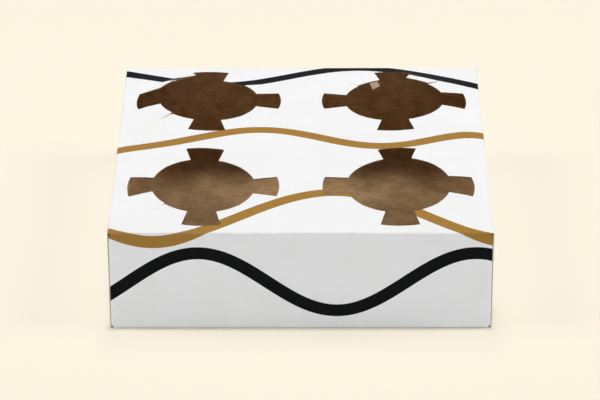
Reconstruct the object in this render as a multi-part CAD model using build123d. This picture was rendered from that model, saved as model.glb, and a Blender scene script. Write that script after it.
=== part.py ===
# Cardboard cup carrier: a flat carton folded from one blank of board, white outside and plain
# kraft inside, with four die-cut cup openings in its top panel. Every flap is glued, so the
# folded blank is one solid. Millimetres, +Z up, front panel facing -Y. The origin is the middle
# of the underside, on the surface that the carton stands on.
import os
from math import comb, cos, radians, sin, sqrt

from build123d import *

# Height of the top's folds over the table. The top bulges higher between them.
carton_height = 60.0

# The bulge's rise over the folds at the middle of the top, and halfway between a front cup and
# the back cup behind it
middle_crown = 3.0
cup_crown = 4.5

# Board and folds
board = 0.6
inside_fold_radius = 0.4
raw_edge_gap = 0.3
fold_relief = 0.8
corner_hole_radius = 0.6
end_panel_taper = 0.6

# Flaps
dust_flap_depth = 45.0
side_glue_flap_height = 18.0
back_glue_flap_depth = 15.0
flap_corner_cut = 6.0
# Between a side glue flap's ends and the dust flaps in the same layer
flap_clearance = 9.5

# Die-cut cup openings: a circle, four flared arms and a slit between each two arms
cup_hole_radius = 28.9
arm_length = 13.4
arm_neck_width = 15.8
arm_end_width = 21.6
slit_length = 10.0
slit_width = 0.1
slit_mouth = 1.0

# Board kept between the arms and the top's folds, and between two cups' arms. With the
# openings, these set the carton's width and depth.
side_margin = 8.4
end_margin = 7.1
gap_across = 24.0
gap_along = 21.6

# Fingers left bent up by cups: row, column, direction of the arm beside it, side of that arm
# (1 is anticlockwise from above) and degrees up. Every other finger lies flat.
bent_fingers = (
    ("back", "left", 90, 1, 18),
    ("back", "left", 180, -1, 20),
    ("back", "left", 180, 1, 5),
    ("back", "left", 0, 1, 4),
    ("back", "right", 90, -1, 9),
    ("back", "right", 0, 1, 5),
    ("back", "right", 90, 1, 3),
    ("front", "right", 0, 1, 5),
    ("front", "right", 90, -1, 5),
    ("front", "right", 90, 1, 4),
    ("front", "right", 180, -1, 4),
    ("front", "left", 180, 1, 3),
)

# Another mark of handling: a torn tab that hangs in an opening
torn_tab_width = 5.0
torn_tab_length = 4.8
torn_tab_short_side = 3.4
torn_tab_skew = 1.5
torn_tab_bend = 68.0
torn_tab_direction = 114.0

arm_reach = cup_hole_radius + arm_length
cup_x = gap_across / 2 + arm_reach
cup_y = gap_along / 2 + arm_reach
half_width = cup_x + arm_reach + side_margin
half_depth = cup_y + arm_reach + end_margin
carton_width = 2 * half_width
carton_depth = 2 * half_depth
outer_fold_radius = inside_fold_radius + board
# The end panels hang outside the tube of front, bottom and back panels.
tube_half_width = half_width - board
straight_half_width = tube_half_width - outer_fold_radius
wall_top = carton_height - outer_fold_radius
# The bulge from side to side is (middle_crown + swell * s**2) * (1 - s**4), and from front to
# back 1 - s**2, where s runs from -1 to 1 between the folds.
cup_share = cup_x / half_width
swell = (cup_crown / (1 - cup_share**4) - middle_crown) / cup_share**2
rise_across = {0: middle_crown, 2: swell, 4: -middle_crown, 6: -swell}
rise_along = {0: 1, 2: -1}
# The bulge stays lower than this over the folds.
rise_limit = middle_crown + swell


def crown_height(x, y):
    # Height of the top panel's outside above the table.
    across = sum(factor * (x / half_width) ** power for power, factor in rise_across.items())
    along = sum(factor * (y / half_depth) ** power for power, factor in rise_along.items())
    return carton_height + across * along


def polar(radius, direction):
    return Vector(radius * cos(radians(direction)), radius * sin(radians(direction)))


def control_heights(polynomial):
    # The Bezier control heights, from -1 to 1, of a polynomial held as power: factor.
    degree = max(polynomial)
    heights = []
    for i in range(degree + 1):
        height = 0
        for power, factor in polynomial.items():
            for j in range(power + 1):
                ways = comb(i, j) * comb(degree - i, power - j) / comb(degree, power)
                height += factor * ways * (-1) ** (power - j)
        heights.append(height)
    return heights


def pillow_block(width, depth, height, radius):
    # A block whose top is the bulging panel as one Bezier patch, with rounded top edges.
    across = control_heights(rise_across)
    along = control_heights(rise_along)
    rows = []
    for i, a in enumerate(across):
        x = width * (i / (len(across) - 1) - 0.5)
        row = []
        for j, b in enumerate(along):
            y = depth * (j / (len(along) - 1) - 0.5)
            row.append(Vector(x, y, height + a * b))
        rows.append(row)
    patch = Face.make_bezier_surface(rows)
    block = extrude(patch, height - wall_top + board, dir=(0, 0, -1))
    top_edges = [edge for edge in block.edges() if abs(edge.center().Z - height) < board / 2]
    return fillet(top_edges, radius)


def top_with_folds():
    # The top panel and the rounded folds along its four edges, down to where the walls start.
    outside = pillow_block(carton_width, carton_depth, carton_height, outer_fold_radius)
    inside = pillow_block(
        carton_width - 2 * board, carton_depth - 2 * board, carton_height - board, inside_fold_radius
    )
    below_folds = Box(
        2 * carton_width, 2 * carton_depth, wall_top, align=(Align.CENTER, Align.CENTER, Align.MIN)
    )
    return outside - inside - below_folds


def upright_prism(outline):
    # An outline drawn on the table, stood up from below the torn tab through the whole top.
    start = wall_top - torn_tab_length
    return Pos(0, 0, start) * extrude(outline, 2 * torn_tab_length + rise_limit, dir=(0, 0, 1))


def cup_opening():
    # The die's outline round one cup, about the cup's own centre.
    neck = sqrt(cup_hole_radius**2 - (arm_neck_width / 2) ** 2)
    end = sqrt(arm_reach**2 - (arm_end_width / 2) ** 2)
    flare = (arm_end_width - arm_neck_width) / 2 / (end - neck)
    inner_half = arm_neck_width / 2 - flare * neck
    outer_half = inner_half + flare * arm_reach
    arm = Polygon(
        (0, inner_half), (0, -inner_half), (arm_reach, -outer_half), (arm_reach, outer_half), align=None
    )
    arm &= Circle(arm_reach)
    slit = Pos(cup_hole_radius + slit_length / 2, 0) * Rectangle(slit_length + slit_mouth, slit_width)
    mouth = Polygon(
        (cup_hole_radius - slit_mouth / 2, slit_mouth / 2),
        (cup_hole_radius - slit_mouth / 2, -slit_mouth / 2),
        (cup_hole_radius + slit_mouth, 0),
        align=None,
    )
    outline = Sketch() + Circle(cup_hole_radius)
    for quarter in range(4):
        outline += Rot(0, 0, 90 * quarter) * arm
        outline += Rot(0, 0, 90 * quarter + 45) * (slit + mouth)
    return outline


def finger_area(cup, arm_direction, side):
    # A finger lies between an arm and the slit on that side of it. Its crease starts at the
    # slit's blind end and stops on the arm's edge, and its area runs on to the cup's centre.
    slit_end = cup + polar(cup_hole_radius + slit_length - slit_width, arm_direction + 45 * side)
    arm_end = sqrt(arm_reach**2 - (arm_end_width / 2) ** 2) - slit_mouth
    arm_side = cup + polar(arm_end, arm_direction) + polar(arm_end_width / 2, arm_direction + 90 * side)
    into_arm = arm_side + (arm_side - slit_end).normalized() * slit_mouth
    area = upright_prism(Polygon(slit_end, into_arm, cup, align=None))
    # The crease is a straight line inside the board, under a top that bulges between its ends.
    middle = (slit_end + arm_side) / 2
    start_height = crown_height(slit_end.X, slit_end.Y)
    finish_height = crown_height(arm_side.X, arm_side.Y)
    bulge = crown_height(middle.X, middle.Y) - (start_height + finish_height) / 2
    depth = (board - bulge) / 2
    start = Vector(slit_end.X, slit_end.Y, start_height - depth)
    finish = Vector(arm_side.X, arm_side.Y, finish_height - depth)
    return area, Axis(start, finish - start)


def with_bent_fingers(top, cups):
    areas = []
    fingers = []
    for row, column, arm_direction, side, bend in bent_fingers:
        area, crease = finger_area(cups[row, column], arm_direction, side)
        areas.append(area)
        fingers.append((top & area).rotate(crease, -side * bend))
    return top - areas + fingers


def torn_tab(cup):
    # A strip of torn board that hangs into an opening from its edge.
    outline = Polygon(
        (0, torn_tab_width / 2),
        (0, -torn_tab_width / 2),
        (-torn_tab_short_side, -torn_tab_width / 2 - torn_tab_skew),
        (-torn_tab_length, torn_tab_width / 2 - torn_tab_skew),
        align=None,
    )
    tab = extrude(outline, board / 4, both=True)
    root = cup + polar(cup_hole_radius + board / 2, torn_tab_direction)
    height = crown_height(root.X, root.Y) - board / 2
    return Pos(root.X, root.Y, height) * Rot(0, 0, torn_tab_direction) * Rot(0, -torn_tab_bend, 0) * tab


def top_panel():
    top = top_with_folds()
    cups = {}
    for row, y in (("front", -cup_y), ("back", cup_y)):
        for column, x in (("left", -cup_x), ("right", cup_x)):
            cups[row, column] = Vector(x, y)
    opening = cup_opening()
    for cup in cups.values():
        top -= upright_prism(Pos(cup.X, cup.Y) * opening)
    top += torn_tab(cups["back", "right"])
    return with_bent_fingers(top, cups)


def folded_sheet(plane, corners, start, stop):
    # One sheet bent at the corners of a path that runs with the carton's inside on its left.
    outside = Wire(FilletPolyline(*corners, radius=outer_fold_radius).edges())
    section = Face(outside.offset_2d(board, side=Side.LEFT))
    return plane.offset(start) * extrude(section, stop - start, dir=(0, 0, 1))


def flap_outline(root, free, low, high):
    # A flap seen from the carton's side: it loses both corners of its free edge.
    inwards = flap_corner_cut if free > root else -flap_corner_cut
    return Plane.YZ * Polygon(
        (root, low),
        (free - inwards, low),
        (free, low + flap_corner_cut),
        (free, high - flap_corner_cut),
        (free - inwards, high),
        (root, high),
        align=None,
    )


def panel_with_dust_flaps(side, start):
    # A wall across the carton, its two upright corner folds and its two dust flaps. Side is -1
    # at the front and 1 at the back.
    wall_y = side * half_depth
    free_y = side * (half_depth - dust_flap_depth)
    corners = [
        (tube_half_width, free_y),
        (tube_half_width, wall_y),
        (-tube_half_width, wall_y),
        (-tube_half_width, free_y),
    ]
    if side < 0:
        corners.reverse()
    sheet = folded_sheet(Plane.XY, corners, start, wall_top)
    wall = Pos(0, 0, start) * Box(
        2 * straight_half_width,
        2 * carton_depth,
        wall_top - start,
        align=(Align.CENTER, Align.CENTER, Align.MIN),
    )
    flaps = extrude(
        flap_outline(wall_y, free_y, start + fold_relief, wall_top - fold_relief),
        half_width,
        both=True,
    )
    return sheet & (wall + flaps)


def back_panel():
    panel = panel_with_dust_flaps(1, board + outer_fold_radius)
    # Its lower edge folds in to the glue flap, which lies on the bottom panel.
    glue_flap = folded_sheet(
        Plane.YZ,
        [
            (half_depth - back_glue_flap_depth, board),
            (half_depth, board),
            (half_depth, board + 2 * outer_fold_radius),
        ],
        -straight_half_width,
        straight_half_width,
    )
    corner = flap_corner_cut
    kept = Polygon(
        (straight_half_width, half_depth),
        (-straight_half_width, half_depth),
        (-straight_half_width, half_depth - back_glue_flap_depth + corner),
        (-straight_half_width + corner, half_depth - back_glue_flap_depth),
        (straight_half_width - corner, half_depth - back_glue_flap_depth),
        (straight_half_width, half_depth - back_glue_flap_depth + corner),
        align=None,
    )
    return panel + (glue_flap & extrude(kept, carton_height, dir=(0, 0, 1)))


def bottom_panel():
    # The bottom folds back from the front panel and ends in a raw edge at the back.
    panel = folded_sheet(
        Plane.YZ,
        [
            (-half_depth, 2 * outer_fold_radius),
            (-half_depth, 0),
            (half_depth - outer_fold_radius, 0),
        ],
        -straight_half_width,
        straight_half_width,
    )
    half_length = half_depth - dust_flap_depth - flap_clearance
    glue_flaps = folded_sheet(
        Plane.XZ,
        [
            (-tube_half_width, side_glue_flap_height),
            (-tube_half_width, 0),
            (tube_half_width, 0),
            (tube_half_width, side_glue_flap_height),
        ],
        -half_length,
        half_length,
    )
    outline = Plane.YZ * Polygon(
        (-half_length, 0),
        (half_length, 0),
        (half_length, side_glue_flap_height - flap_corner_cut),
        (half_length - flap_corner_cut, side_glue_flap_height),
        (-half_length + flap_corner_cut, side_glue_flap_height),
        (-half_length, side_glue_flap_height - flap_corner_cut),
        align=None,
    )
    return panel + (glue_flaps & extrude(outline, half_width, both=True))


def end_panel(side):
    # The outermost layer at each end, folded down from the top. Its other edges are raw.
    upper = half_depth - raw_edge_gap
    lower = upper - end_panel_taper
    outline = Plane.YZ * Polygon(
        (-lower, raw_edge_gap), (lower, raw_edge_gap), (upper, wall_top), (-upper, wall_top), align=None
    )
    return Pos(side * (half_width - board / 2), 0, 0) * extrude(outline, board / 2, both=True)


def corner_holes():
    # Where two folds of the top meet, the die punches a pinhole.
    length = 6 * outer_fold_radius
    pin = Rot(0, 90, 0) * Cylinder(corner_hole_radius, length)
    holes = []
    for turn in (45, 135, 225, 315):
        corner = Vector(
            tube_half_width if cos(radians(turn)) > 0 else -tube_half_width,
            half_depth if sin(radians(turn)) > 0 else -half_depth,
        )
        holes.append(Pos(corner.X, corner.Y, wall_top) * Rot(0, 0, turn) * pin)
    return holes


def carton():
    front_panel = panel_with_dust_flaps(-1, outer_fold_radius)
    folded = top_panel() + front_panel + back_panel() + bottom_panel()
    folded += end_panel(-1) + end_panel(1)
    return folded - corner_holes()


os.makedirs("parts", exist_ok=True)
export_step(carton(), "parts/carton.step")
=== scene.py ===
import math
import bmesh
import bpy
from mathutils import Matrix, Vector


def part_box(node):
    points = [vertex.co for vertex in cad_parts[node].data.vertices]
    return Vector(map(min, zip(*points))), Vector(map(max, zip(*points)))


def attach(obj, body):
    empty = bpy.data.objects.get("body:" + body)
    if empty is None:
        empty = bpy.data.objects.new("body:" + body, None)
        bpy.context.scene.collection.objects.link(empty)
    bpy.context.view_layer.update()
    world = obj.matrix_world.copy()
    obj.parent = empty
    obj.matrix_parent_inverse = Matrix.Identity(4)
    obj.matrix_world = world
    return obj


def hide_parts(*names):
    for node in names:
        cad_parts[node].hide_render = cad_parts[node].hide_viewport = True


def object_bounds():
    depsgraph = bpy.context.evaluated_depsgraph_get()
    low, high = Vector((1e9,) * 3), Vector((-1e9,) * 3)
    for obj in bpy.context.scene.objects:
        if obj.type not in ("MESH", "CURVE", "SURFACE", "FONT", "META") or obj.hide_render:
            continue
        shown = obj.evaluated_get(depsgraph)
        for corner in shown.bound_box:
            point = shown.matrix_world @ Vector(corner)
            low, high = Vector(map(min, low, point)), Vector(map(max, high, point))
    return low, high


# A cup carrier folded from one sheet of carton board, with plain waves printed on its outside.
# Metres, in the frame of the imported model. The dictionaries are in millimetres, apart from the
# studio's and every bump's distance, which are in metres. Four numbers in a row are a range and
# what it becomes, and the Scale of a noise is one over the size of its spots.

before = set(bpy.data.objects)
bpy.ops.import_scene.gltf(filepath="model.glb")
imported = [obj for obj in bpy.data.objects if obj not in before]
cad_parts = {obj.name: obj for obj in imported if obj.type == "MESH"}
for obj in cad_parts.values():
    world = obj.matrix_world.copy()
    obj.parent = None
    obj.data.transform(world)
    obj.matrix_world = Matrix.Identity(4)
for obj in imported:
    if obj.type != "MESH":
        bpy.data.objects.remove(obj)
cadLow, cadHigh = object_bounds()
scene = bpy.context.scene
scene.view_settings.view_transform = "Standard"
perMetre = 1000.0              # millimetres
print("frame loaded")


def linear(hexColour):
    # an sRGB hex colour as the linear one that Blender's sockets hold
    channels = [int(hexColour[i:i + 2], 16) / 255 for i in (1, 3, 5)]
    return [c / 12.92 if c <= 0.04045 else ((c + 0.055) / 1.055) ** 2.4 for c in channels] + [1.0]


def addNode(tree, kind, settings=None, links=None):
    # a node with its settings, and with its inputs set to a value or joined to a socket
    node = tree.nodes.new(kind)
    for name, value in (settings or {}).items():
        setattr(node, name, value)
    for name, value in (links or {}).items():
        if isinstance(value, bpy.types.NodeSocket):
            tree.links.new(value, node.inputs[name])
        else:
            node.inputs[name].default_value = value
    return node


def span(numbers):
    # a range and what it becomes, numbered as a node's inputs
    return dict(enumerate(numbers, start=1))


def newMaterial(name):
    # a material whose shader already reaches the output
    material = bpy.data.materials.new(name)
    material.use_nodes = True
    tree = material.node_tree
    tree.nodes.clear()
    shader = addNode(tree, "ShaderNodeBsdfPrincipled")
    addNode(tree, "ShaderNodeOutputMaterial", None, {"Surface": shader.outputs[0]})
    return material, tree, shader


def boardPoint(tree):
    # where a point lies on the carton, in millimetres
    place = addNode(tree, "ShaderNodeTexCoord").outputs["Object"]
    return addNode(tree, "ShaderNodeVectorMath", {"operation": "SCALE"},
                   {0: place, "Scale": perMetre}).outputs[0]


# The camera stands where the photograph was taken from. Its angles are in degrees.
cameraView = {
    "lens": 182.16,
    "sensor": 36.0,
    "clip": (50.0, 50000.0),
    "distance": 1752.2,
    "elevation": 28.42,
    "azimuth": 0.248,
    "roll": -0.158,
    "target": (-0.725, 0.0, 24.96),
}


def makeCamera(values):
    data = bpy.data.cameras.new("camera")
    data.lens = values["lens"]
    data.sensor_width = values["sensor"]
    data.clip_start, data.clip_end = (end / perMetre for end in values["clip"])
    camera = bpy.data.objects.new("camera", data)
    scene.collection.objects.link(camera)
    azimuth, elevation = math.radians(values["azimuth"]), math.radians(values["elevation"])
    back = Vector((
        math.sin(azimuth) * math.cos(elevation),
        -math.cos(azimuth) * math.cos(elevation),
        math.sin(elevation),
    ))
    right = (-back).cross(Vector((0, 0, 1))).normalized()
    up = right.cross(-back)
    roll = math.radians(values["roll"])
    tiltedRight = right * math.cos(roll) + up * math.sin(roll)
    tiltedUp = up * math.cos(roll) - right * math.sin(roll)
    turn = Matrix((tiltedRight, tiltedUp, back)).transposed().to_4x4()
    place = Vector(values["target"]) / perMetre + back * values["distance"] / perMetre
    camera.matrix_world = Matrix.Translation(place) @ turn
    scene.camera = camera


makeCamera(cameraView)
print("camera made")


# Clay-coated carton board, offset printed. The coating is a smooth, slightly satin white with
# faint clouding from the fibres under it, and the ink dries a little shinier than the coating.
printedBoard = {
    "white": "#f6f6f6",
    "clouded": "#f1f1f0",
    "rubbed": "#dcd8d0",
    "cracked": "#8f867a",
    "gold": "#a67d39",
    "black": "#0b0e10",
    "clouds": {"Scale": 1 / 24, "Detail": 3.0},
    "cloudShare": (0.35, 0.75, 0.0, 0.6),
    # real fibres are finer than 1.1 mm; drawn this coarse so that they show
    "fibres": {"Scale": 1 / 1.1, "Detail": 4.0, "Roughness": 0.65},
    "fibreShare": (0.3, 0.8, 0.0, 0.5),
    # handling rubs the coating at the folds, in patches
    "rub": {
        "noise": {"Scale": 0.09, "Detail": 5.0, "Roughness": 0.7},
        "patches": (0.42, 0.68, 0.0, 0.35),
        "reach": (0.4, 1.6, 1.0, 0.0),
    },
    # in places the sheet is cracked along a fold's crown, as a thin line
    "crack": {
        "noise": {"Scale": 0.022, "Detail": 2.0},
        "patches": (0.46, 0.54, 0.0, 0.5),
        "reach": (0.43, 0.6, 1.0, 0.0),
    },
    "crackShare": (0.0, 1.0, 0.3, 1.0),    # bare board hardly shows a crack, and ink does
    # Plain sine waves on the unfolded sheet: ink, middle line, height, length, and start as a
    # share of the length. The sheet's first coordinate runs across the carton and the second
    # from front to back, over the folds.
    "waves": (
        ("black", -133.0, 18.0, 152.0, 0.62),
        ("gold", -84.0, 24.0, 196.0, 0.16),
        ("gold", 3.0, 11.0, 140.0, 0.40),
        ("black", 88.0, 13.0, 168.0, 0.05),
        ("gold", 134.0, 16.0, 150.0, 0.30),
    ),
    "waveWidth": 7.5,
    "waveBlur": 0.08,                      # on either side of a wave's edge
    "inkGrain": {"Scale": 0.35, "Detail": 5.0, "Roughness": 0.6},
    "inkTone": (0.25, 0.75, 0.95, 1.05),
    "roughness": (0.0, 1.0, 0.56, 0.5),    # bare, then inked
    "roughnessGrain": (0.3, 0.7, -0.05, 0.06),
    "rubbedRoughness": 0.25,               # what rubbing adds
    "gloss": 0.055,                        # the shader's specular level
    "bump": {"Strength": 0.35, "Distance": 0.00004},
}


def waveBand(tree, across, along, wave, values):
    # 1 inside one wave of even width and 0 outside it
    middle, height, length, start = wave
    turns = 2 * math.pi / length
    phase = addNode(tree, "ShaderNodeMath", {"operation": "MULTIPLY_ADD"},
                    {0: across, 1: turns, 2: start * 2 * math.pi}).outputs[0]
    sine = addNode(tree, "ShaderNodeMath", {"operation": "SINE"}, {0: phase}).outputs[0]
    cosine = addNode(tree, "ShaderNodeMath", {"operation": "COSINE"}, {0: phase}).outputs[0]
    line = addNode(tree, "ShaderNodeMath", {"operation": "MULTIPLY_ADD"},
                   {0: sine, 1: height, 2: middle}).outputs[0]
    gap = addNode(tree, "ShaderNodeMath", {"operation": "SUBTRACT"},
                  {0: along, 1: line}).outputs[0]
    slope = addNode(tree, "ShaderNodeMath", {"operation": "MULTIPLY"},
                    {0: cosine, 1: height * turns}).outputs[0]
    steep = addNode(tree, "ShaderNodeMath", {"operation": "MULTIPLY_ADD"},
                    {0: slope, 1: slope, 2: 1.0}).outputs[0]
    stretch = addNode(tree, "ShaderNodeMath", {"operation": "SQRT"}, {0: steep}).outputs[0]
    distance = addNode(tree, "ShaderNodeMath", {"operation": "DIVIDE"},
                       {0: gap, 1: stretch}).outputs[0]
    size = addNode(tree, "ShaderNodeMath", {"operation": "ABSOLUTE"}, {0: distance}).outputs[0]
    half, blur = values["waveWidth"] / 2, values["waveBlur"]
    return addNode(tree, "ShaderNodeMapRange", {"interpolation_type": "SMOOTHSTEP"},
                   {0: size, **span((half - blur, half + blur, 1.0, 0.0))}).outputs[0]


def foldDistance(tree, point, half, height):
    # how far a point of the outside is from the nearest fold's line, upright folds apart
    away = addNode(tree, "ShaderNodeVectorMath", {"operation": "ABSOLUTE"}, {0: point}).outputs[0]
    gaps = addNode(tree, "ShaderNodeVectorMath", {"operation": "SUBTRACT"},
                   {0: (half[0], half[1], height), 1: away}).outputs[0]
    fromEnd, fromFront, fromTop = addNode(tree, "ShaderNodeSeparateXYZ", None, {0: gaps}).outputs
    fromTable = addNode(tree, "ShaderNodeSeparateXYZ", None, {0: point}).outputs["Z"]
    nearest = None
    for first, second in ((fromEnd, fromTop), (fromFront, fromTop), (fromFront, fromTable)):
        pair = addNode(tree, "ShaderNodeCombineXYZ", None, {0: first, 1: second}).outputs[0]
        length = addNode(tree, "ShaderNodeVectorMath", {"operation": "LENGTH"},
                         {0: pair}).outputs["Value"]
        if nearest is None:
            nearest = length
        else:
            nearest = addNode(tree, "ShaderNodeMath", {"operation": "MINIMUM"},
                              {0: nearest, 1: length}).outputs[0]
    return nearest


def foldWear(tree, point, fold, wear):
    # how worn the board is: in patches, and only near a fold's line
    noise = addNode(tree, "ShaderNodeTexNoise", None, {"Vector": point, **wear["noise"]}).outputs[0]
    patches = addNode(tree, "ShaderNodeMapRange", None,
                      {0: noise, **span(wear["patches"])}).outputs[0]
    near = addNode(tree, "ShaderNodeMapRange", {"interpolation_type": "SMOOTHSTEP"},
                   {0: fold, **span(wear["reach"])}).outputs[0]
    return addNode(tree, "ShaderNodeMath", {"operation": "MULTIPLY"},
                   {0: patches, 1: near}).outputs[0]


def coatingColour(tree, point, fibres, rub, values):
    # the bare coating, a little greyed by clouds and fibres, and more so where it is rubbed
    clouds = addNode(tree, "ShaderNodeTexNoise", None,
                     {"Vector": point, **values["clouds"]}).outputs[0]
    cloudShare = addNode(tree, "ShaderNodeMapRange", None,
                         {0: clouds, **span(values["cloudShare"])}).outputs[0]
    fibreShare = addNode(tree, "ShaderNodeMapRange", None,
                         {0: fibres, **span(values["fibreShare"])}).outputs[0]
    mottle = addNode(tree, "ShaderNodeMath", {"operation": "ADD", "use_clamp": True},
                     {0: cloudShare, 1: fibreShare}).outputs[0]
    coating = addNode(tree, "ShaderNodeMix", {"data_type": "RGBA"},
                      {0: mottle, 6: linear(values["white"]),
                       7: linear(values["clouded"])}).outputs[2]
    return addNode(tree, "ShaderNodeMix", {"data_type": "RGBA"},
                   {0: rub, 6: coating, 7: linear(values["rubbed"])}).outputs[2]


def printWaves(tree, point, coating, values):
    # the colour with the waves over the coating, and where there is ink
    sheet = addNode(tree, "ShaderNodeUVMap", {"uv_map": "unfoldedSheet"}).outputs[0]
    across, along, _ = addNode(tree, "ShaderNodeSeparateXYZ", None, {0: sheet}).outputs
    grain = addNode(tree, "ShaderNodeTexNoise", None,
                    {"Vector": point, **values["inkGrain"]}).outputs[0]
    tone = addNode(tree, "ShaderNodeMapRange", None,
                   {0: grain, **span(values["inkTone"])}).outputs[0]
    colour, inked = coating, None
    for ink, *wave in values["waves"]:
        band = waveBand(tree, across, along, wave, values)
        shade = addNode(tree, "ShaderNodeMix", {"data_type": "RGBA", "blend_type": "MULTIPLY"},
                        {0: 1.0, 6: linear(values[ink]), 7: tone}).outputs[2]
        colour = addNode(tree, "ShaderNodeMix", {"data_type": "RGBA"},
                         {0: band, 6: colour, 7: shade}).outputs[2]
        if inked is None:
            inked = band
        else:
            inked = addNode(tree, "ShaderNodeMath", {"operation": "MAXIMUM"},
                            {0: inked, 1: band}).outputs[0]
    return colour, inked


def makePrintedBoard(values, half, height):
    material, tree, shader = newMaterial("clayCoatedPrintedBoard")
    point = boardPoint(tree)
    fibres = addNode(tree, "ShaderNodeTexNoise", None,
                     {"Vector": point, **values["fibres"]}).outputs[0]
    fold = foldDistance(tree, point, half, height)
    rub = foldWear(tree, point, fold, values["rub"])
    crack = foldWear(tree, point, fold, values["crack"])

    coating = coatingColour(tree, point, fibres, rub, values)
    colour, inked = printWaves(tree, point, coating, values)
    crackShare = addNode(tree, "ShaderNodeMapRange", None,
                         {0: inked, **span(values["crackShare"])}).outputs[0]
    shownCrack = addNode(tree, "ShaderNodeMath", {"operation": "MULTIPLY"},
                         {0: crack, 1: crackShare}).outputs[0]
    colour = addNode(tree, "ShaderNodeMix", {"data_type": "RGBA"},
                     {0: shownCrack, 6: colour, 7: linear(values["cracked"])}).outputs[2]
    tree.links.new(colour, shader.inputs["Base Color"])

    sheen = addNode(tree, "ShaderNodeMapRange", None,
                    {0: inked, **span(values["roughness"])}).outputs[0]
    grain = addNode(tree, "ShaderNodeMapRange", None,
                    {0: fibres, **span(values["roughnessGrain"])}).outputs[0]
    sheen = addNode(tree, "ShaderNodeMath", {"operation": "ADD"}, {0: sheen, 1: grain}).outputs[0]
    sheen = addNode(tree, "ShaderNodeMath", {"operation": "MULTIPLY_ADD"},
                    {0: rub, 1: values["rubbedRoughness"], 2: sheen}).outputs[0]
    tree.links.new(sheen, shader.inputs["Roughness"])
    shader.inputs["Specular IOR Level"].default_value = values["gloss"]
    bump = addNode(tree, "ShaderNodeBump", None, {"Height": fibres, **values["bump"]}).outputs[0]
    tree.links.new(bump, shader.inputs["Normal"])
    return material


# Unbleached kraft liner, machine made and uncoated: a matt mid brown with long fibres that lie
# mostly along the machine's direction, and a few dark specks of bark.
kraftInside = {
    "dark": "#a47f55",
    "middle": "#bf9d73",
    "light": "#d6b68e",
    "speck": "#66482b",
    "clouds": {"Scale": 1 / 9, "Detail": 4.0, "Roughness": 0.6},
    "fibreWidth": 0.45,        # real fibres are a tenth of this; drawn this wide so that they show
    "fibreLength": 5.0,
    "layers": ((0.12, 1.0), (-0.35, 0.8)),   # which way the fibres lie, and how fine they are
    "fibres": {"Scale": 1.0, "Detail": 3.0, "Distortion": 0.6},
    "fibreTone": (0.85, -0.18),              # a factor and a shift
    "cloudTone": 0.55,
    "darkToMiddle": (0.34, 0.56, 0.0, 1.0),
    "middleToLight": (0.54, 0.76, 0.0, 1.0),
    "specks": {"Scale": 0.8, "Detail": 2.0},
    "speckShare": (0.72, 0.78, 0.0, 0.7),
    "roughness": (0.3, 0.8, 0.8, 0.94),
    "gloss": 0.1,
    "bump": {"Strength": 0.6, "Distance": 0.00008},
}


def crossedFibres(tree, point, values):
    # layers of long fibres, laid over each other at a slight angle
    crossed = None
    for turn, fineness in values["layers"]:
        width = fineness / values["fibreWidth"]
        laid = addNode(tree, "ShaderNodeMapping", None,
                       {"Vector": point, "Rotation": (0.0, 0.0, turn),
                        "Scale": (1 / values["fibreLength"], width, width)}).outputs[0]
        layer = addNode(tree, "ShaderNodeTexNoise", None,
                        {"Vector": laid, **values["fibres"]}).outputs[0]
        if crossed is None:
            crossed = layer
        else:
            crossed = addNode(tree, "ShaderNodeMath", {"operation": "MAXIMUM"},
                              {0: crossed, 1: layer}).outputs[0]
    return crossed


def makeKraft(values):
    material, tree, shader = newMaterial("uncoatedKraftLiner")
    point = boardPoint(tree)
    clouds = addNode(tree, "ShaderNodeTexNoise", None,
                     {"Vector": point, **values["clouds"]}).outputs[0]
    crossed = crossedFibres(tree, point, values)
    factor, shift = values["fibreTone"]
    tone = addNode(tree, "ShaderNodeMath", {"operation": "MULTIPLY_ADD"},
                   {0: crossed, 1: factor, 2: shift}).outputs[0]
    tone = addNode(tree, "ShaderNodeMath", {"operation": "MULTIPLY_ADD"},
                   {0: clouds, 1: values["cloudTone"], 2: tone}).outputs[0]
    lower = addNode(tree, "ShaderNodeMapRange", None,
                    {0: tone, **span(values["darkToMiddle"])}).outputs[0]
    upper = addNode(tree, "ShaderNodeMapRange", None,
                    {0: tone, **span(values["middleToLight"])}).outputs[0]
    specks = addNode(tree, "ShaderNodeTexNoise", None,
                     {"Vector": point, **values["specks"]}).outputs[0]
    speck = addNode(tree, "ShaderNodeMapRange", None,
                    {0: specks, **span(values["speckShare"])}).outputs[0]
    colour = linear(values["dark"])
    for share, shade in ((lower, "middle"), (upper, "light"), (speck, "speck")):
        colour = addNode(tree, "ShaderNodeMix", {"data_type": "RGBA"},
                         {0: share, 6: colour, 7: linear(values[shade])}).outputs[2]
    tree.links.new(colour, shader.inputs["Base Color"])
    rough = addNode(tree, "ShaderNodeMapRange", None,
                    {0: crossed, **span(values["roughness"])}).outputs[0]
    tree.links.new(rough, shader.inputs["Roughness"])
    shader.inputs["Specular IOR Level"].default_value = values["gloss"]
    bump = addNode(tree, "ShaderNodeBump", None, {"Height": crossed, **values["bump"]}).outputs[0]
    tree.links.new(bump, shader.inputs["Normal"])
    return material


# The board's core where a steel rule cut it: layered grey-cream fibre, matt and slightly fuzzy.
# Round the openings it is darker and browner, a painted shade for edges that face into the shaded
# inside, and along the blank's own outline it is greyer.
openingEdgePaintedShade = {"core": "#937a5a", "shade": "#6d553a", "layer": 0.5, "roughness": 0.92}
blankEdge = {"core": "#cbc5ba", "shade": "#a8a298", "layer": 0.5, "roughness": 0.92}

# Torn board shows its inner ply: long pale fibres, matt, much lighter than the kraft liner.
tornPly = {"core": "#ecd9bb", "shade": "#d3b992", "layer": 0.8, "roughness": 0.94}

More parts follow.
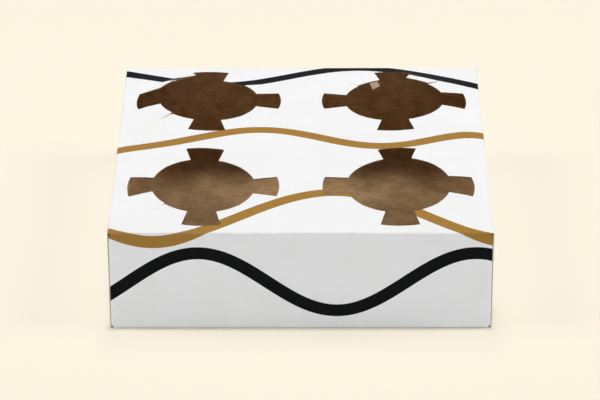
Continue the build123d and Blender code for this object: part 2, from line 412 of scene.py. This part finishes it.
# What every cut or torn edge has in common: short loose fibre ends.
looseFibre = {
    "noise": {"Detail": 5.0, "Roughness": 0.7},
    "shadeShare": (0.35, 0.65, 0.0, 1.0),
    "roughnessGrain": (0.3, 0.7, -0.05, 0.04),
    "bump": {"Strength": 0.7, "Distance": 0.0001},
}


def makeRawEdge(name, values):
    material, tree, shader = newMaterial(name)
    fuzz = addNode(tree, "ShaderNodeTexNoise", None,
                   {"Vector": boardPoint(tree), "Scale": 1 / values["layer"],
                    **looseFibre["noise"]}).outputs[0]
    share = addNode(tree, "ShaderNodeMapRange", None,
                    {0: fuzz, **span(looseFibre["shadeShare"])}).outputs[0]
    colour = addNode(tree, "ShaderNodeMix", {"data_type": "RGBA"},
                     {0: share, 6: linear(values["core"]),
                      7: linear(values["shade"])}).outputs[2]
    tree.links.new(colour, shader.inputs["Base Color"])
    start, end, smoother, rougher = looseFibre["roughnessGrain"]
    roughness = values["roughness"]
    rough = addNode(tree, "ShaderNodeMapRange", None,
                    {0: fuzz, **span((start, end, roughness + smoother,
                                      roughness + rougher))}).outputs[0]
    tree.links.new(rough, shader.inputs["Roughness"])
    bump = addNode(tree, "ShaderNodeBump", None, {"Height": fuzz, **looseFibre["bump"]}).outputs[0]
    tree.links.new(bump, shader.inputs["Normal"])
    return material


# The folded sheet, and what tells its faces apart.
carton = {
    "height": 60.0,            # the folds along the top, over the table
    "board": 0.6,
    "foldRadius": 1.0,         # of a fold's outside
    "merge": 0.002,            # corners nearer to each other than this are one
    "outer": 0.45,             # what lies nearer to the outer box than this is the outside
    "slack": 0.05,             # what a face may lie off its nominal place
    "flapTop": 58.3,           # above every flap and below the top panel
    "flapReach": 12.0,         # flaps at the ends lie nearer to the ends than this
    "cups": (54.3, 53.1),      # a cup's centre from the middle of the carton
    "slits": (29.4, 39.5),     # where a slit starts and ends, from its cup's centre
    "slitSpread": 1.0,         # how far a slit's faces may lie off the cup's diagonal
    # Slits that bent fingers hold open, and the finish that their sides show. Four answers tell
    # which slit it is: right column, back row, outer side of its cup, outer end of its cup.
    "openSlits": {
        # this slit's sides get the openings' painted shade, standing in for the shadow in the gap
        # under a bent finger
        (True, True, True, True): "openingEdgePaintedShade",
        (False, True, True, False): "blankEdge",
    },
    "tornFrom": (39.0, 74.5, 56.0),
    "tornTo": (48.5, 82.5, 64.5),
    "tornTilt": (0.2, 0.6),    # how upright the torn ply's normal is
    "lying": 0.45,             # a top panel's edges have a less upright normal than this
    "square": 0.7,             # a normal with more than this along an axis looks along it
    "mostly": 0.5,             # and with more than this it looks mostly along it
    "edgeOn": 0.3,             # and with less than this it looks across it
    "offPrint": 400.0,         # moves the underside's coordinates away from the waves
}

# The finishes, in the order of the mesh's material slots.
finishes = ("print", "kraft", "openingEdgePaintedShade", "tornPly", "blankEdge")


def within(point, low, high):
    return all(a <= p <= b for p, a, b in zip(point, low, high))


def topPanelFinish(centre, normal, values):
    if abs(normal.z) > values["lying"]:
        return "print" if normal.z > 0 else "kraft"
    x, y, _ = centre
    fromCup = (abs(x) - values["cups"][0], abs(y) - values["cups"][1])
    alongSlit = values["slits"][0] < math.hypot(*fromCup) < values["slits"][1]
    offDiagonal = abs(abs(fromCup[0]) - abs(fromCup[1]))
    if alongSlit and offDiagonal < values["slitSpread"]:
        # the coating rolls over into a slit, so that a closed one hardly shows
        slit = (x > 0, y > 0, fromCup[0] > 0, fromCup[1] > 0)
        return values["openSlits"].get(slit, "print")
    # the openings' cut edges, darkened with painted shade
    return "openingEdgePaintedShade"


def wallFinish(centre, normal, half, values):
    # the top panel's folds, the walls, the flaps and the bottom
    x, y, z = centre
    sideways, lengthways = abs(x), abs(y)
    board, slack, square = values["board"], values["slack"], values["square"]
    # the end panels' raw edges, at their sides and at the table
    atEnd = sideways > half[0] - board - slack
    if atEnd and (abs(normal.y) > square or normal.z < -square):
        return "blankEdge"
    # an upright fold is white round its outside and kraft round its inside
    axis = (half[0] - board - values["foldRadius"], half[1] - values["foldRadius"])
    if sideways > axis[0] and lengthways > axis[1] and z < values["flapTop"]:
        radius = math.hypot(sideways - axis[0], lengthways - axis[1])
        return "print" if radius > values["foldRadius"] - board / 2 else "kraft"
    # the outside is printed, apart from the bottom panel's back edge
    nearest = min(half[0] - sideways, half[1] - lengthways, z, abs(values["height"] - z))
    if nearest < values["outer"]:
        backEdge = normal.y > square and lengthways < half[1] - board and z < board
        return "blankEdge" if backEdge else "print"
    if lengthways > half[1] - 2 * board:
        return "kraft"
    # the raw edges of the flaps at the ends, and of the glue flap on the bottom panel
    atFlap = sideways > half[0] - values["flapReach"] and board + slack < z < values["flapTop"]
    if atFlap and abs(normal.x) < values["edgeOn"]:
        return "blankEdge"
    if normal.y < -square and y > 0 and z < 2 * (board + slack):
        return "blankEdge"
    return "kraft"


def finishOf(centre, normal, half, values):
    low, high = values["tornTilt"]
    if within(centre, values["tornFrom"], values["tornTo"]) and low < abs(normal.z) < high:
        return "tornPly"
    inset = values["foldRadius"]
    betweenFolds = abs(centre[0]) < half[0] - inset and abs(centre[1]) < half[1] - inset
    if centre[2] > values["flapTop"] and betweenFolds:
        return topPanelFinish(centre, normal, values)
    return wallFinish(centre, normal, half, values)


def unfolded(point, centre, normal, half, values):
    # the sheet's own flat coordinates
    x, y, z = point
    board, mostly = values["board"], values["mostly"]
    drop = max(0.0, values["height"] - z)
    if abs(centre[0]) > half[0] - board - values["slack"] and abs(normal.y) < mostly:
        return (x + math.copysign(drop, x), y)
    if abs(centre[1]) > half[1] - 2 * board:
        return (x, y + math.copysign(drop, y))
    if normal.z < -mostly and z < values["height"] / 2:
        return (x, y - values["offPrint"])
    return (x, y)


def dressFaces(shape, half, values):
    # every face gets its finish and its place on the unfolded sheet
    sheet = shape.loops.layers.uv.new("unfoldedSheet")
    counts = dict.fromkeys(finishes, 0)
    for face in shape.faces:
        face.smooth = True
        centre = face.calc_center_median() * perMetre
        finish = finishOf(centre, face.normal, half, values)
        face.material_index = finishes.index(finish)
        counts[finish] += 1
        for corner in face.loops:
            point = corner.vert.co * perMetre
            corner[sheet].uv = unfolded(point, centre, face.normal, half, values)
    print("carton faces", counts)


def makeCarton(values):
    _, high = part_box("carton")
    half = (high.x * perMetre, high.y * perMetre)
    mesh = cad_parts["carton"].data.copy()
    mesh.name = "foldedCarton"
    mesh.materials.clear()

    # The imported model's own normals are kept through the merge, so that the bulge stays smooth.
    kept = mesh.attributes.new("keptNormal", "FLOAT_VECTOR", "CORNER")
    kept.data.foreach_set("vector", [c for n in mesh.corner_normals for c in n.vector])
    shape = bmesh.new()
    shape.from_mesh(mesh)
    bmesh.ops.remove_doubles(shape, verts=shape.verts, dist=values["merge"] / perMetre)
    dressFaces(shape, half, values)
    shape.to_mesh(mesh)
    shape.free()
    kept = mesh.attributes["keptNormal"]
    flat = [0.0] * (3 * len(mesh.loops))
    kept.data.foreach_get("vector", flat)
    mesh.attributes.remove(kept)
    mesh.normals_split_custom_set(list(zip(flat[0::3], flat[1::3], flat[2::3])))

    piece = bpy.data.objects.new("foldedCarton", mesh)
    scene.collection.objects.link(piece)
    mesh.materials.append(makePrintedBoard(printedBoard, half, values["height"]))
    mesh.materials.append(makeKraft(kraftInside))
    # the openings' cut edges, darker and browner with painted shade
    mesh.materials.append(makeRawEdge("steelRuleCutBoardPaintedShade", openingEdgePaintedShade))
    mesh.materials.append(makeRawEdge("tornBoardPly", tornPly))
    mesh.materials.append(makeRawEdge("steelRuleCutBlankEdge", blankEdge))
    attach(piece, "root")
    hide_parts("carton")


makeCarton(carton)
print("carton made")


# A pale floor and sky, a softbox high on each side, and one overhead and a little behind.
studio = {
    "floor": "#fef5e3",
    "bounce": "#fafafa",       # what the floor throws back on the carton
    "backdrop": "#fdf4e3",     # what the camera sees of the sky
    "floorSize": 12.0,
    "floorSquares": 4,
    "floorDrop": 0.00005,      # keeps it clear of the carton's underside
    "floorRoughness": 0.95,
    "floorGloss": 0.05,
    # how much of the floor's shading the camera doesn't see, by the distance from the carton
    "floorLift": (0.001, 0.0038, 0.0, 0.66),
    "skyOverhead": 0.215,
    "skyRim": 2.3,             # what the sky gains at the horizon
    "skyFall": 8.0,            # how fast that falls off with height, so that little goes inside
    "skyColour": "#ffffff",
    "aim": (0.0, 0.0, 0.03),
    "softboxes": (             # place, size and power
        ((-1.35, -0.05, 1.5), 0.7, 14.2),
        ((1.35, -0.05, 1.5), 0.7, 14.8),
        ((0.0, 0.62, 1.8), 0.5, 8.5),
    ),
}


def seenOnFloor(tree):
    # 1 where the camera sees the floor, also in a mirror image or through something clear
    path = addNode(tree, "ShaderNodeLightPath").outputs
    mirrored = addNode(tree, "ShaderNodeMath", {"operation": "MAXIMUM"},
                       {0: path["Is Glossy Ray"], 1: path["Is Transmission Ray"]}).outputs[0]
    return addNode(tree, "ShaderNodeMath", {"operation": "MAXIMUM"},
                   {0: path["Is Camera Ray"], 1: mirrored}).outputs[0]


def fromFootprint(tree):
    # how far a point of the floor is from the rectangle that the carton stands in
    place = addNode(tree, "ShaderNodeTexCoord").outputs["Object"]
    point = addNode(tree, "ShaderNodeVectorMath", {"operation": "ABSOLUTE"}, {0: place}).outputs[0]
    apart = addNode(tree, "ShaderNodeVectorMath", {"operation": "SUBTRACT"},
                    {0: point, 1: (cadHigh[0], cadHigh[1], 0.0)}).outputs[0]
    sides = addNode(tree, "ShaderNodeSeparateXYZ", None, {0: apart}).outputs
    return addNode(tree, "ShaderNodeMath", {"operation": "MAXIMUM"},
                   {0: sides[0], 1: sides[1]}).outputs[0]


def makeFloorPaper(values):
    # the floor shows its cream, and throws back a plain grey, so that the board isn't tinted
    material, tree, shader = newMaterial("mattPaperFloor")
    seen = seenOnFloor(tree)
    colour = addNode(tree, "ShaderNodeMix", {"data_type": "RGBA"},
                     {0: seen, 6: linear(values["bounce"]), 7: linear(values["floor"])}).outputs[2]
    tree.links.new(colour, shader.inputs["Base Color"])
    shader.inputs["Roughness"].default_value = values["floorRoughness"]
    shader.inputs["Specular IOR Level"].default_value = values["floorGloss"]
    share = addNode(tree, "ShaderNodeMapRange", None,
                    {0: fromFootprint(tree), **span(values["floorLift"])}).outputs[0]
    lift = addNode(tree, "ShaderNodeMath", {"operation": "MULTIPLY"}, {0: seen, 1: share}).outputs[0]
    glow = addNode(tree, "ShaderNodeEmission", None,
                   {"Color": linear(values["floor"]), "Strength": 1.0}).outputs[0]
    lifted = addNode(tree, "ShaderNodeMixShader", None,
                     {0: lift, 1: shader.outputs[0], 2: glow}).outputs[0]
    output = next(node for node in tree.nodes if node.type == "OUTPUT_MATERIAL")
    tree.links.new(lifted, output.inputs["Surface"])
    return material


def makeFloor(values):
    shape = bmesh.new()
    squares = values["floorSquares"]
    bmesh.ops.create_grid(shape, x_segments=squares, y_segments=squares,
                          size=values["floorSize"] / 2)
    mesh = bpy.data.meshes.new("floor")
    for vert in shape.verts:
        vert.co.z = -values["floorDrop"]
    shape.to_mesh(mesh)
    shape.free()
    floor = bpy.data.objects.new("floor", mesh)
    scene.collection.objects.link(floor)
    mesh.materials.append(makeFloorPaper(values))


def makeSky(values):
    # pale walls stand round the floor, so the sky is brighter near the horizon
    world = bpy.data.worlds.new("studio")
    world.use_nodes = True
    scene.world = world
    tree = world.node_tree
    tree.nodes.clear()
    path = addNode(tree, "ShaderNodeLightPath").outputs
    seen = addNode(tree, "ShaderNodeMath", {"operation": "MAXIMUM"},
                   {0: path["Is Camera Ray"], 1: path["Is Transmission Ray"]}).outputs[0]
    direction = addNode(tree, "ShaderNodeTexCoord").outputs["Generated"]
    upwards = addNode(tree, "ShaderNodeSeparateXYZ", None, {0: direction}).outputs["Z"]
    level = addNode(tree, "ShaderNodeMath", {"operation": "SUBTRACT", "use_clamp": True},
                    {0: 1.0, 1: upwards}).outputs[0]
    rim = addNode(tree, "ShaderNodeMath", {"operation": "POWER"},
                  {0: level, 1: values["skyFall"]}).outputs[0]
    strength = addNode(tree, "ShaderNodeMath", {"operation": "MULTIPLY_ADD"},
                       {0: rim, 1: values["skyRim"], 2: values["skyOverhead"]}).outputs[0]
    light = addNode(tree, "ShaderNodeBackground", None,
                    {"Color": linear(values["skyColour"]), "Strength": strength}).outputs[0]
    shown = addNode(tree, "ShaderNodeBackground", None,
                    {"Color": linear(values["backdrop"]), "Strength": 1.0}).outputs[0]
    both = addNode(tree, "ShaderNodeMixShader", None, {0: seen, 1: light, 2: shown}).outputs[0]
    addNode(tree, "ShaderNodeOutputWorld", None, {"Surface": both})


def makeSoftboxes(values):
    for place, size, power in values["softboxes"]:
        data = bpy.data.lights.new("softbox", "AREA")
        data.shape = "SQUARE"
        data.size = size
        data.energy = power
        lamp = bpy.data.objects.new("softbox", data)
        scene.collection.objects.link(lamp)
        lamp.location = place
        back = Vector(place) - Vector(values["aim"])
        lamp.rotation_euler = back.to_track_quat("Z", "Y").to_euler()


makeFloor(studio)
print("floor made")
makeSky(studio)
makeSoftboxes(studio)
print("sky and softboxes made")
